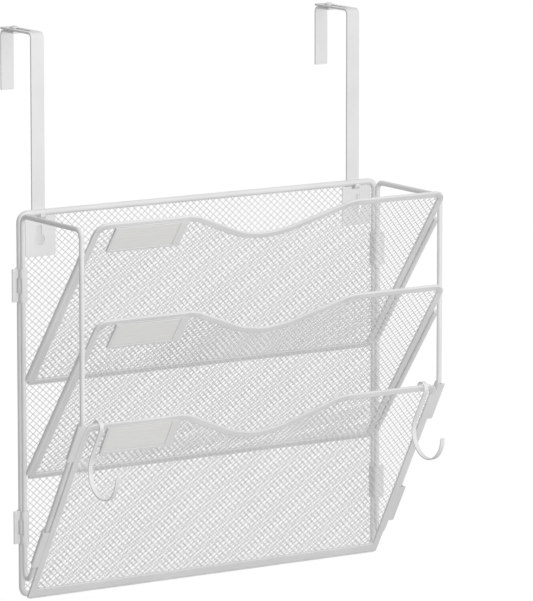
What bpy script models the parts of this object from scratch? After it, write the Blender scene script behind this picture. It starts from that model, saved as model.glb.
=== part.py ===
"""Mesh file organizer with three leaning pockets that hangs over a door.

Metres, Z up, X to the right, the pockets open towards -Y. The world origin is
the top front edge of the door that the organizer hangs on.
"""
import math

import bmesh
import bpy
from mathutils import Vector

for stale in list(bpy.data.objects):
    bpy.data.objects.remove(stale, do_unlink=True)

# Clearance between pieces that touch, how far a cutter runs past its cut, and
# the distance below which points of one surface are one point
gap = 0.0003
overrun = 0.002
weld_distance = 0.00001

# Back frame: a bent wire with a mesh panel inside it
frame_width = 0.330
frame_height = 0.300
frame_wire = 0.0048
frame_corner = 0.009
frame_drop = 0.4317
mesh_sheet = 0.0006
mesh_border = 0.003
back_cell_width = 0.0357
back_cell_height = 0.0308
strand = 0.0018

# Side loops: one closed wire on each side, in front of the frame's uprights
loop_wire = 0.0040
loop_reach = 0.091
loop_top_drop = 0.003
loop_top_bend = 0.0065
loop_knee_bend = 0.008
loop_foot_bend = 0.006

# Straps that tie each loop to the frame
clip_sheet = 0.0006
clip_height = 0.0255
clip_flange = 0.0050
clip_bend = 0.0022
clip_upper_drop = 0.0565
clip_lower_share = 0.6034

# Upper and middle pocket
pocket_slant = math.radians(37.45)
upper_wire_drop = 0.01732
pocket_step_share = 0.2433
upper_slope = 0.1726
support_wire = 0.0040
support_inset = 0.0021

# Lower pocket
lower_slant = math.radians(30.5)
lower_slope = 0.1728
lower_stand_off = 0.0049
lower_wire_offset = 0.0024

# Pocket rims: a folded sheet that grips the edge of the pocket's mesh
rim_sheet = 0.0005
rim_thickness = 0.0022
rim_round = 0.0004
rim_top_band = 0.0052
rim_side_band = 0.0057
rim_bottom_band = 0.0055
lower_bottom_band = 0.0090
rim_top_corner = 0.010
rim_foot_corner = 0.002
least_corner = 0.0004
dip_top_half = 0.078
dip_floor_half = 0.015
dip_depth = 0.030
dip_shoulder_bend = 0.030
dip_floor_bend = 0.060
pocket_cell_width = 0.0306
pocket_cell_height = 0.0327

# Knuckles of the lower rim, rolled round the sloping runs of the loops
knuckle_sheet = 0.0006
knuckle_length = 0.036
knuckle_upper_start = 0.136
knuckle_lower_start = 0.0315
knuckle_root_depth = 0.0003
knuckle_root_back = 0.0006
knuckle_end_turn = math.radians(-150)

# Label holders and their cards
label_height = 0.0255
label_inset = 0.0232
label_dip_lap = 0.0005
label_top_drop = 0.0028
label_sheet = 0.0005
label_corner = 0.0012
label_left_lip = 0.0030
label_right_lip = 0.0070
label_foot_lip = 0.0022
card_top_drop = 0.0012
card_sheet = 0.0004
card_side_gap = 0.0004

# Keyhole plates for wall screws
plate_sheet = 0.0008
plate_width = 0.0265
plate_height = 0.0334
plate_corner = 0.0015
plate_side_gap = 0.0026
keyhole_shift = 0.0018
keyhole_slot = 0.0044
keyhole_bore = 0.0093
keyhole_slot_top = 0.0084
keyhole_bore_rise = 0.0155
mesh_window_width = 0.0125
mesh_window_height = 0.0190
mesh_window_rise = 0.0085

# Hangers: a flat arm and strap, and a leg that slides in the strap's slot
hanger_inset = 0.021
strip_width = 0.0113
strip_thickness = 0.0015
strip_bend = 0.0035
arm_tail = 0.0285
door_gap = 0.0435
leg_length = 0.0452
leg_travel = 0.022
flange_length = 0.0200
flange_bend = 0.0035
tongue_width = 0.0040
tongue_lip = 0.0014
tongue_bend = 0.0015
tongue_window = 0.0063
tongue_notch = 0.0074
rivet_shank = 0.0034
rivet_head = 0.0068
rivet_dome = 0.0016
rivet_tail = 0.0050
rivet_set_back = 0.012
slot_clearance = 0.0003

# Hooks that hang on the rim of the lower pocket
hook_width = 0.0037
hook_thickness = 0.0010
hook_inset = 0.017
hook_rim_bend = 0.00485
hook_seat_back = 0.0011
hook_seat_drop = 0.0037
hook_tail_turn = math.radians(-10)
hook_shank = 0.0263
hook_bend = 0.0197
hook_tip_turn = math.radians(-174)
hook_tip = 0.002

# Facets: counts, no lengths
wire_sides = 10
frame_sides = 12
bend_steps = 5
slight_bend_steps = 3
rivet_steps = 16
hook_steps = 16
least_hole_share = 0.12
least_mitre_share = 0.375

# Sizes that follow from the ones above
wire_y = -(strip_thickness + gap + frame_wire / 2)
half_frame = frame_width / 2
loop_x = half_frame - frame_wire / 2
loop_y = -(frame_wire / 2 + gap + loop_wire / 2)
loop_half = loop_x - loop_wire / 2
support_x = loop_x - support_inset
support_half = support_x - support_wire / 2
slant_tan = math.tan(pocket_slant)
slant_cos = math.cos(pocket_slant)
pocket_foot_y = -(mesh_sheet / 2 + gap + rim_thickness / 2 * slant_cos)
front_face = -(loop_reach - loop_wire / 2 - gap)
rear_face = loop_y - loop_wire / 2 - gap
loop_top = frame_height - loop_top_drop
upper_foot_height = loop_top - upper_wire_drop - (pocket_foot_y - front_face) / slant_tan
middle_foot_height = upper_foot_height - frame_height * pocket_step_share
clip_upper_middle = frame_height - clip_upper_drop
clip_lower_middle = middle_foot_height * clip_lower_share
panel_half = half_frame - frame_wire - gap
panel_bottom = frame_wire + gap
panel_top = frame_height - frame_wire - gap
upper_half_width = support_half - gap
lower_half_width = loop_half - gap
rim_half = rim_thickness / 2
label_left = half_frame - label_inset
label_width = label_left - dip_top_half + label_dip_lap
mesh_slot_depth = rim_sheet + gap
hanger_x = half_frame - hanger_inset
keyhole_x = hanger_x + keyhole_shift
hook_x = half_frame - hook_inset
strap_underside = strip_thickness + gap
strap_middle = strap_underside + strip_thickness / 2
tongue_middle = frame_height - frame_wire - gap - strip_thickness / 2
tongue_root = tongue_middle - tongue_bend
notch_floor = tongue_middle - strip_thickness / 2 - gap

# Colours, with roughness and metallic value
white_coat = (0.80, 0.80, 0.80, 1.0)
card_grey = (0.66, 0.65, 0.64, 1.0)
coat_roughness = 0.45
card_roughness = 0.75


def finish(obj, colour=white_coat, roughness=coat_roughness, metallic=0.0):
    """Give an object its own painted or paper material."""
    mat = bpy.data.materials.new(obj.name + "_finish")
    mat.use_nodes = True
    shader = mat.node_tree.nodes["Principled BSDF"]
    shader.inputs["Base Color"].default_value = colour
    shader.inputs["Roughness"].default_value = roughness
    shader.inputs["Metallic"].default_value = metallic
    mat.diffuse_color = colour
    obj.data.materials.append(mat)


def add(name, bm, parent=None, place=(0, 0, 0), smooth=None):
    """Turn a bmesh into a named object, sitting at place under its parent."""
    bmesh.ops.recalc_face_normals(bm, faces=bm.faces)
    mesh = bpy.data.meshes.new(name)
    bm.to_mesh(mesh)
    bm.free()
    if smooth:
        mesh.shade_smooth()
        mesh.set_sharp_from_angle(angle=smooth)
    obj = bpy.data.objects.new(name, mesh)
    bpy.context.collection.objects.link(obj)
    obj.parent = parent
    obj.location = place
    return obj


def empty(name, place, parent=None, lean=0.0):
    """An empty that leans forward about X."""
    obj = bpy.data.objects.new(name, None)
    bpy.context.collection.objects.link(obj)
    obj.parent = parent
    obj.location = place
    obj.rotation_euler = (lean, 0, 0)
    obj.empty_display_size = frame_corner
    return obj


def hide_cutter(obj):
    """A cutter stays in the file, out of sight."""
    obj.hide_render = True
    obj.display_type = 'WIRE'


def boolean(obj, other, operation):
    """Cut or join with the exact solver."""
    mod = obj.modifiers.new(operation.title(), 'BOOLEAN')
    mod.operation = operation
    mod.solver = 'EXACT'
    mod.object = other
    hide_cutter(other)


def solidify(obj, thickness, offset=0.0):
    """Give a surface its sheet thickness."""
    mod = obj.modifiers.new("Sheet", 'SOLIDIFY')
    mod.thickness = thickness
    mod.offset = offset
    mod.use_even_offset = True


def rounded(corners, steps):
    """Points of a closed outline whose corners are (u, v, bend radius)."""
    points = []
    for i, (u, v, radius) in enumerate(corners):
        here = Vector((u, v))
        back = Vector(corners[i - 1][:2]) - here
        ahead = Vector(corners[(i + 1) % len(corners)][:2]) - here
        back.normalize()
        ahead.normalize()
        half = back.angle(ahead) / 2
        centre = here + (back + ahead).normalized() * (radius / math.sin(half))
        start = here + back * (radius / math.tan(half)) - centre
        turn = math.pi - 2 * half
        side = 1 if back.cross(ahead) < 0 else -1
        for step in range(steps + 1):
            angle = side * turn * step / steps
            cos, sin = math.cos(angle), math.sin(angle)
            points.append(centre + Vector((start.x * cos - start.y * sin, start.x * sin + start.y * cos)))
    return points


def inset(corners, depths):
    """Move each side of a counter-clockwise outline inwards by its own depth."""
    lines = []
    for i, depth in enumerate(depths):
        start = Vector(corners[i][:2])
        along = (Vector(corners[(i + 1) % len(corners)][:2]) - start).normalized()
        lines.append((start + Vector((-along.y, along.x)) * depth, along))
    moved = []
    for i, corner in enumerate(corners):
        (a, da), (b, db) = lines[i - 1], lines[i]
        t = (b - a).cross(db) / da.cross(db)
        depth = (depths[i - 1] + depths[i]) / 2
        radius = corner[2] - depth if da.cross(db) > 0 else corner[2] + depth
        spot = a + da * t
        moved.append((spot.x, spot.y, max(radius, least_corner)))
    return moved


def bridge_rings(bm, rings, closed):
    """Quads between rings of vertices; closed joins the last to the first."""
    pairs = list(zip(rings, rings[1:]))
    if closed:
        pairs.append((rings[-1], rings[0]))
    for low, high in pairs:
        for i in range(len(low)):
            j = (i + 1) % len(low)
            bm.faces.new((low[i], low[j], high[j], high[i]))


def tube(path, side, diameter, sides, closed):
    """A round wire along a path that lies in the plane square to side."""
    bm = bmesh.new()
    rings = []
    count = len(path)
    for i, point in enumerate(path):
        before = path[i - 1] if closed or i else point
        after = path[(i + 1) % count] if closed or i < count - 1 else point
        lean = (after - before).normalized().cross(side)
        ring = []
        for k in range(sides):
            angle = 2 * math.pi * k / sides
            offset = side * math.cos(angle) + lean * math.sin(angle)
            ring.append(bm.verts.new(point + offset * (diameter / 2)))
        rings.append(ring)
    bridge_rings(bm, rings, closed)
    if not closed:
        bm.faces.new(rings[0])
        bm.faces.new(rings[-1])
    return bm


def ribbon(bm, path, thickness, ends, place):
    """A strip of sheet that follows a flat path and is as wide as its ends."""
    rings = []
    last = len(path) - 1
    for i, point in enumerate(path):
        before = path[max(i - 1, 0)]
        after = path[min(i + 1, last)]
        along = (after - before).normalized()
        square = Vector((-along.y, along.x))
        reach = thickness / 2
        if 0 < i < last:
            reach /= max(along.dot((after - point).normalized()), least_mitre_share)
        ring = []
        for offset, end in ((reach, 0), (reach, 1), (-reach, 1), (-reach, 0)):
            spot = point + square * offset
            ring.append(bm.verts.new(place(spot.x, spot.y, ends[end])))
        rings.append(ring)
    bridge_rings(bm, rings, False)
    bm.faces.new(rings[0])
    bm.faces.new(rings[-1])
    return bm


def arc(centre, radius, start, stop, steps):
    """Points on a circle from one angle to another."""
    return [centre + Vector((math.cos(a), math.sin(a))) * radius
            for a in (start + (stop - start) * i / steps for i in range(steps + 1))]


def flat_sheet(outline, holes):
    """A flat surface in XZ with holes, ready to be given its thickness."""
    bm = bmesh.new()
    edges = []
    for loop in [outline] + holes:
        verts = [bm.verts.new((p[0], 0, p[1])) for p in loop]
        for i, vert in enumerate(verts):
            edges.append(bm.edges.new((vert, verts[(i + 1) % len(verts)])))
    bmesh.ops.triangle_fill(bm, edges=edges, use_beauty=True)
    return bm


def box_outline(left, right, low, high):
    """Counter-clockwise outline of a box."""
    return [(left, low), (right, low), (right, high), (left, high)]


def slab(outline, front, rear):
    """A solid between two planes square to Y, from an outline in XZ."""
    bm = bmesh.new()
    rings = [[bm.verts.new((p[0], y, p[1])) for p in outline] for y in (front, rear)]
    bridge_rings(bm, rings, False)
    bm.faces.new(rings[0])
    bm.faces.new(rings[-1])
    return bm


def clip_to_diamond(field, middle, half_wide, half_tall):
    """The part of a field that lies inside one diamond."""
    shape = [Vector(p) for p in field]
    for sx, sy in ((1, 1), (-1, 1), (-1, -1), (1, -1)):
        def inside(p):
            return 1 - sx * (p.x - middle.x) / half_wide - sy * (p.y - middle.y) / half_tall
        kept = []
        for i, p in enumerate(shape):
            q = shape[(i + 1) % len(shape)]
            a, b = inside(p), inside(q)
            if a >= 0:
                kept.append(p)
            if (a > 0 > b) or (a < 0 < b):
                kept.append(p + (q - p) * (a / (a - b)))
        shape = kept
    return shape


def tidy_loop(points, least):
    """Drop points that lie closer together than least."""
    kept = []
    for p in points:
        if not kept or (p - kept[-1]).length > least:
            kept.append(p)
    while len(kept) > 2 and (kept[0] - kept[-1]).length <= least:
        kept.pop()
    return kept


def area_of(points):
    """Area of a flat outline."""
    return abs(sum(p.cross(points[(i + 1) % len(points)]) for i, p in enumerate(points))) / 2


def diamond_holes(field, cell_width, cell_height):
    """Diamond gaps of a net that fill a field, in rows and offset rows."""
    low_u = min(p.x for p in field)
    high_u = max(p.x for p in field)
    low_v = min(p.y for p in field)
    high_v = max(p.y for p in field)
    slope = math.hypot(cell_width, cell_height)
    trim = strand * slope / (2 * cell_height)
    half_wide = cell_width / 2 - trim
    half_tall = half_wide * cell_height / cell_width
    whole = 2 * half_wide * half_tall
    holes = []
    columns = math.ceil((high_u - low_u) / cell_width) + 1
    rows = math.ceil((high_v - low_v) / cell_height) + 1
    middle_u = (low_u + high_u) / 2
    for shift in (0, 1):
        for column in range(-columns, columns + 1):
            for row in range(rows + 1):
                spot = Vector((middle_u + (column + shift / 2) * cell_width,
                               low_v + (row + shift / 2) * cell_height))
                shape = clip_to_diamond(field, spot, half_wide, half_tall)
                shape = tidy_loop(shape, strand / 2)
                if len(shape) < 3 or area_of(shape) < least_hole_share * whole:
                    continue
                holes.append(shape)
    return holes


# The back frame
organizer = empty("organizer", (0, wire_y, -frame_drop))

half_wire = frame_wire / 2
frame_bend = frame_corner - half_wire
frame_low = half_wire
frame_high = frame_height - half_wire
frame_corners = [(-loop_x, frame_low, frame_bend), (loop_x, frame_low, frame_bend),
                 (loop_x, frame_high, frame_bend), (-loop_x, frame_high, frame_bend)]
frame_path = [Vector((p.x, 0, p.y)) for p in rounded(frame_corners, bend_steps)]
back_frame = add("back_frame_wire", tube(frame_path, Vector((0, 1, 0)), frame_wire, frame_sides, True),
                 organizer, smooth=math.radians(50))
finish(back_frame)

# The back mesh, notched for the clips and the hanger tongues
clip_inner = frame_wire / 2 + gap
clip_reach = clip_inner + clip_sheet
clip_edge = loop_x - clip_reach - gap
clip_spans = []
for middle in (clip_lower_middle, clip_upper_middle):
    clip_spans.append((middle - clip_height / 2 - gap, middle + clip_height / 2 + gap))
panel_corner = frame_corner - frame_wire


def panel_outline():
    """Counter-clockwise outline of the back mesh."""
    right = []
    for low, high in clip_spans:
        right += [(panel_half, low), (clip_edge, low), (clip_edge, high), (panel_half, high)]
    side = tongue_notch / 2
    top = []
    for x in (hanger_x, -hanger_x):
        top += [(x + side, panel_top), (x + side, notch_floor), (x - side, notch_floor), (x - side, panel_top)]
    outline = [(-panel_half + panel_corner, panel_bottom), (panel_half - panel_corner, panel_bottom)]
    outline += [(panel_half, panel_bottom + panel_corner)] + right
    outline += [(panel_half, panel_top - panel_corner), (panel_half - panel_corner, panel_top)] + top
    outline += [(-panel_half + panel_corner, panel_top), (-panel_half, panel_top - panel_corner)]
    outline += [(-x, z) for x, z in reversed(right)] + [(-panel_half, panel_bottom + panel_corner)]
    return outline


plate_middle_x = loop_half - plate_side_gap - plate_width / 2
plate_top = panel_top
plate_bottom = plate_top - plate_height
field_half = clip_edge - mesh_border
field_low = panel_bottom + mesh_border
field_high = notch_floor - mesh_border
field = [Vector((-field_half, field_low)), Vector((field_half, field_low)),
         Vector((field_half, field_high)), Vector((-field_half, field_high))]
window_middle = plate_bottom + mesh_window_rise + mesh_window_height / 2
windows = []
for sign in (-1, 1):
    window_x = sign * keyhole_x
    half_w = mesh_window_width / 2
    half_h = mesh_window_height / 2
    low, high = window_middle - half_h, window_middle + half_h
    windows.append([Vector((window_x - half_w, low)), Vector((window_x + half_w, low)),
                    Vector((window_x + half_w, high)), Vector((window_x - half_w, high))])


def clip_to_side(shape, axis, limit, keep):
    """The part of a flat shape above (keep 1) or below (keep -1) a limit on one axis."""
    kept = []
    for i, p in enumerate(shape):
        q = shape[(i + 1) % len(shape)]
        a, b = keep * (p[axis] - limit), keep * (q[axis] - limit)
        if a >= 0:
            kept.append(p)
        if (a > 0 > b) or (a < 0 < b):
            kept.append(p + (q - p) * (a / (a - b)))
    return kept


def round_window(shape, window):
    """Parts of a diamond beside, below and above a window, with a strand between them."""
    left, low = window[0]
    right, high = window[2]
    if not any(clip_to_side(clip_to_side(clip_to_side(clip_to_side(
            shape, 0, left - strand, 1), 0, right + strand, -1), 1, low - strand, 1), 1, high + strand, -1)):
        return [shape]
    middle = clip_to_side(clip_to_side(shape, 0, left, 1), 0, right, -1)
    parts = [clip_to_side(shape, 0, left - strand, -1), clip_to_side(shape, 0, right + strand, 1),
             clip_to_side(middle, 1, low - strand, -1), clip_to_side(middle, 1, high + strand, 1)]
    return [tidy_loop(part, strand / 2) for part in parts]


back_holes = diamond_holes(field, back_cell_width, back_cell_height)
least_hole = least_hole_share * back_cell_width * back_cell_height / 2
for window in windows:
    trimmed = [part for hole in back_holes for part in round_window(hole, window)]
    back_holes = [part for part in trimmed if len(part) > 2 and area_of(part) > least_hole]
back_mesh = add("back_mesh", flat_sheet(panel_outline(), back_holes + windows), organizer)
solidify(back_mesh, mesh_sheet)
finish(back_mesh)

# Keyhole plates, welded to the front of the back mesh
plate_y = -(mesh_sheet / 2 + gap + plate_sheet / 2)


def keyhole(middle_x):
    """Outline of a round bore with a narrow slot above it."""
    slot = keyhole_slot / 2
    bore = keyhole_bore / 2
    open_half = math.asin(slot / bore)
    centre = Vector((middle_x, plate_bottom + keyhole_bore_rise))
    steps = 2 * bend_steps
    start = math.pi / 2 + open_half
    loop = arc(centre, bore, start, start + 2 * math.pi - 2 * open_half, steps)
    top = Vector((middle_x, plate_top - keyhole_slot_top))
    loop += arc(top, slot, 0.0, math.pi, bend_steps)
    return loop


for side_name, sign in (("left", -1), ("right", 1)):
    centre_x = sign * plate_middle_x
    half_w = plate_width / 2
    half_notch = tongue_notch / 2
    notch_x = sign * hanger_x
    plate = rounded([(centre_x - half_w, plate_bottom, plate_corner), (centre_x + half_w, plate_bottom, plate_corner),
                     (centre_x + half_w, plate_top, plate_corner), (centre_x - half_w, plate_top, plate_corner)],
                    slight_bend_steps)
    cut = 3 * (slight_bend_steps + 1)
    plate = plate[:cut] + [Vector((notch_x + half_notch, plate_top)), Vector((notch_x + half_notch, notch_floor)),
                           Vector((notch_x - half_notch, notch_floor)),
                           Vector((notch_x - half_notch, plate_top))] + plate[cut:]
    bm = flat_sheet(plate, [keyhole(sign * keyhole_x)])
    keyhole_plate = add("keyhole_plate_" + side_name, bm, organizer, (0, plate_y, 0))
    solidify(keyhole_plate, plate_sheet)
    finish(keyhole_plate)

# Pocket places: each pocket is drawn flat and leans on its own empty
lower_foot_y = -lower_stand_off
upper_pocket = empty("upper_pocket", (0, pocket_foot_y, upper_foot_height), organizer, pocket_slant)
middle_pocket = empty("middle_pocket", (0, pocket_foot_y, middle_foot_height), organizer, pocket_slant)
lower_pocket = empty("lower_pocket", (0, lower_foot_y, 0), organizer, lower_slant)

# Side loops: the sloping run lies just behind the plane of the lower pocket
lower_tan = math.tan(lower_slant)
run_y = lower_foot_y + lower_wire_offset / math.cos(lower_slant)
knee_height = (loop_reach + run_y) / lower_tan
heel_height = (run_y - loop_y) / lower_tan
loop_corners = [(loop_y, heel_height, loop_foot_bend), (loop_y, loop_top, loop_top_bend),
                (-loop_reach, loop_top, loop_top_bend), (-loop_reach, knee_height, loop_knee_bend)]
for side_name, sign in (("left", -1), ("right", 1)):
    loop_path = [Vector((0, p.x, p.y)) for p in rounded(loop_corners, bend_steps)]
    side_loop = add("side_loop_" + side_name, tube(loop_path, Vector((1, 0, 0)), loop_wire, wire_sides, True),
                    organizer, (sign * loop_x, 0, 0), smooth=math.radians(50))
    finish(side_loop)

# Support wires of the upper and middle pockets, butted between the loop's uprights
for level, foot in (("upper", upper_foot_height), ("middle", middle_foot_height)):
    for side_name, sign in (("left", -1), ("right", 1)):
        bm = bmesh.new()
        rings = []
        for end_y in (front_face, rear_face):
            ring = []
            for k in range(wire_sides):
                angle = 2 * math.pi * k / wire_sides
                across = math.cos(angle) * support_wire / 2
                lift = math.sin(angle) * support_wire / 2 / math.sin(pocket_slant)
                height = foot + (pocket_foot_y - end_y) / slant_tan + lift
                ring.append(bm.verts.new((across, end_y, height)))
            rings.append(ring)
        bridge_rings(bm, rings, False)
        bm.faces.new(rings[0])
        bm.faces.new(rings[-1])
        wire = add("support_wire_%s_%s" % (level, side_name), bm, organizer, (sign * support_x, 0, 0),
                   smooth=math.radians(50))
        finish(wire)

# Clips: a strap round the frame wire and the loop wire, pinched into a flange beside them
clip_round = clip_inner + clip_sheet / 2
strap_front = loop_y - loop_wire / 2 - gap - clip_sheet / 2
strap_back = half_wire + gap + clip_sheet / 2
pinch = (strap_front + strap_back) / 2
rear_layer = pinch + (clip_sheet + gap) / 2
front_layer = pinch - (clip_sheet + gap) / 2
flange_root = clip_sheet / 2 + gap
clip_path = [Vector((clip_round + clip_flange, rear_layer))]
clip_path += arc(Vector((clip_round + flange_root, rear_layer + flange_root)), flange_root,
                 -math.pi / 2, -math.pi, slight_bend_steps)
clip_path += arc(Vector((clip_round - clip_bend, strap_back - clip_bend)), clip_bend,
                 0.0, math.pi / 2, bend_steps)
clip_path += arc(Vector((-clip_round + clip_bend, strap_back - clip_bend)), clip_bend,
                 math.pi / 2, math.pi, bend_steps)
clip_path += arc(Vector((-clip_round + clip_bend, strap_front + clip_bend)), clip_bend,
                 math.pi, 3 * math.pi / 2, bend_steps)
clip_path += arc(Vector((clip_round - clip_bend, strap_front + clip_bend)), clip_bend,
                 -math.pi / 2, 0.0, bend_steps)
clip_path += arc(Vector((clip_round + flange_root, front_layer - flange_root)), flange_root,
                 math.pi, math.pi / 2, slight_bend_steps)
clip_path += [Vector((clip_round + clip_flange, front_layer))]
for level, middle in (("upper", clip_upper_middle), ("lower", clip_lower_middle)):
    for side_name, sign in (("left", -1), ("right", 1)):
        def stand(a, b, height, mirror=sign):
            return Vector((mirror * a, b, height))
        bm = ribbon(bmesh.new(), clip_path, clip_sheet, (-clip_height / 2, clip_height / 2), stand)
        clip = add("clip_%s_%s" % (level, side_name), bm, organizer, (sign * loop_x, 0, middle),
                   smooth=math.radians(40))
        finish(clip)


def pocket_corners(half_width, slope):
    """Counter-clockwise outline of a pocket, with the dip in its top edge."""
    floor = slope - dip_depth
    return [(-half_width, 0, rim_foot_corner), (half_width, 0, rim_foot_corner),
            (half_width, slope, rim_top_corner), (dip_top_half, slope, dip_shoulder_bend),
            (dip_floor_half, floor, dip_floor_bend), (-dip_floor_half, floor, dip_floor_bend),
            (-dip_top_half, slope, dip_shoulder_bend), (-half_width, slope, rim_top_corner)]


def even(depth):
    """The same inset on each side of a pocket's outline."""
    return [depth] * 8


def pocket_rim(name, half_width, slope, bottom_band, parent):
    """A rim folded over the mesh: two bands joined by a rounded hem."""
    corners = pocket_corners(half_width, slope)
    bands = [bottom_band, rim_side_band] + [rim_top_band] * 5 + [rim_side_band]
    inner = rim_half - rim_sheet
    section = [(even(0.0), rim_half - rim_round), (even(rim_round), rim_half), (bands, rim_half),
               (bands, inner), (even(rim_sheet), inner), (even(rim_sheet), -inner), (bands, -inner),
               (bands, -rim_half), (even(rim_round), -rim_half), (even(0.0), rim_round - rim_half)]
    bm = bmesh.new()
    rings = []
    for depths, y in section:
        outline = rounded(inset(corners, depths), bend_steps)
        rings.append([bm.verts.new((p.x, y, p.y)) for p in outline])
    bridge_rings(bm, rings, True)
    rim = add(name, bm, parent, smooth=math.radians(35))
    finish(rim)
    return rim


def pocket_net(name, half_width, slope, bottom_band, parent):
    """The mesh that the rim grips, with diamond gaps inside the bands."""
    corners = pocket_corners(half_width, slope)
    outline = rounded(inset(corners, even(mesh_slot_depth)), slight_bend_steps)
    bands = [bottom_band + gap, rim_side_band + gap] + [rim_top_band + gap] * 5 + [rim_side_band + gap]
    inside = rounded(inset(corners, bands), slight_bend_steps)
    holes = diamond_holes(inside, pocket_cell_width, pocket_cell_height)
    net = add(name, flat_sheet(outline, holes), parent)
    solidify(net, mesh_sheet)
    finish(net)
    return net


for level, parent, half_width, slope, bottom_band in (
        ("upper", upper_pocket, upper_half_width, upper_slope, rim_bottom_band),
        ("middle", middle_pocket, upper_half_width, upper_slope, rim_bottom_band),
        ("lower", lower_pocket, lower_half_width, lower_slope, lower_bottom_band)):
    rim = pocket_rim("pocket_rim_" + level, half_width, slope, bottom_band, parent)
    pocket_net("pocket_mesh_" + level, half_width, slope, bottom_band, parent)
    if level == "lower":
        lower_rim = rim

    # The label holder: a flat pocket with a window in front, open at its top, and its card
    left = -label_left
    right = left + label_width
    high = slope - label_top_drop
    low = high - label_height
    label_rear = -(rim_half + gap)
    label_front = label_rear - 2 * (label_sheet + gap) - card_sheet
    room_rear = label_rear - label_sheet
    room_front = label_front + label_sheet
    outline = rounded([(left, low, label_corner), (right, low, label_corner),
                       (right, high, 0.0), (left, high, 0.0)], slight_bend_steps)
    holder = add("label_holder_" + level, slab(tidy_loop(outline, weld_distance), label_front, label_rear), parent)
    room = box_outline(left + label_sheet, right - label_sheet, low + label_sheet, high + overrun)
    window = box_outline(left + label_left_lip, right - label_right_lip, low + label_foot_lip, high + overrun)
    room_cutter = add("card_room_cutter_" + level, slab(room, room_front, room_rear), parent)
    boolean(holder, room_cutter, 'DIFFERENCE')
    window_cutter = add("card_window_cutter_" + level, slab(window, label_front - overrun, room_front + gap), parent)
    boolean(holder, window_cutter, 'DIFFERENCE')
    finish(holder)
    card_margin = label_sheet + card_side_gap
    card_rear = room_rear - gap
    card_outline = box_outline(left + card_margin, right - card_margin, low + card_margin, high - card_top_drop)
    card = add("label_card_" + level, slab(card_outline, card_rear - card_sheet, card_rear), parent)
    finish(card, card_grey, card_roughness)

# Knuckles: tabs of the lower rim rolled round the sloping runs of the loops
roll = loop_wire / 2 + gap + knuckle_sheet / 2
wire_spot = Vector((loop_x, -lower_wire_offset))
root = Vector((lower_half_width - knuckle_root_depth, -knuckle_root_back))
to_root = root - wire_spot
touch = math.atan2(to_root.y, to_root.x) - math.acos(roll / to_root.length)
knuckle_path = [root] + arc(wire_spot, roll, touch, knuckle_end_turn, 2 * bend_steps)
for side_name, sign in (("left", -1), ("right", 1)):
    for level, start in (("upper", knuckle_upper_start), ("lower", knuckle_lower_start)):
        def lay(a, n, length, mirror=sign):
            return Vector((mirror * a, -n, length))
        bm = ribbon(bmesh.new(), knuckle_path, knuckle_sheet, (start, start + knuckle_length), lay)
        knuckle = add("knuckle_%s_%s_joined" % (level, side_name), bm, lower_pocket)
        boolean(lower_rim, knuckle, 'UNION')


def strip_surface(path, half_width, window=None):
    """A flat strip along a path in YZ, in three columns; window leaves one middle quad out."""
    bm = bmesh.new()
    half_tongue = tongue_width / 2
    rows = []
    for y, z in path:
        rows.append([bm.verts.new((x, y, z)) for x in (-half_width, -half_tongue, half_tongue, half_width)])
    for i in range(len(rows) - 1):
        for c in range(3):
            if c == 1 and i == window:
                continue
            bm.faces.new((rows[i][c], rows[i][c + 1], rows[i + 1][c + 1], rows[i + 1][c]))
    return bm, rows


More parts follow.
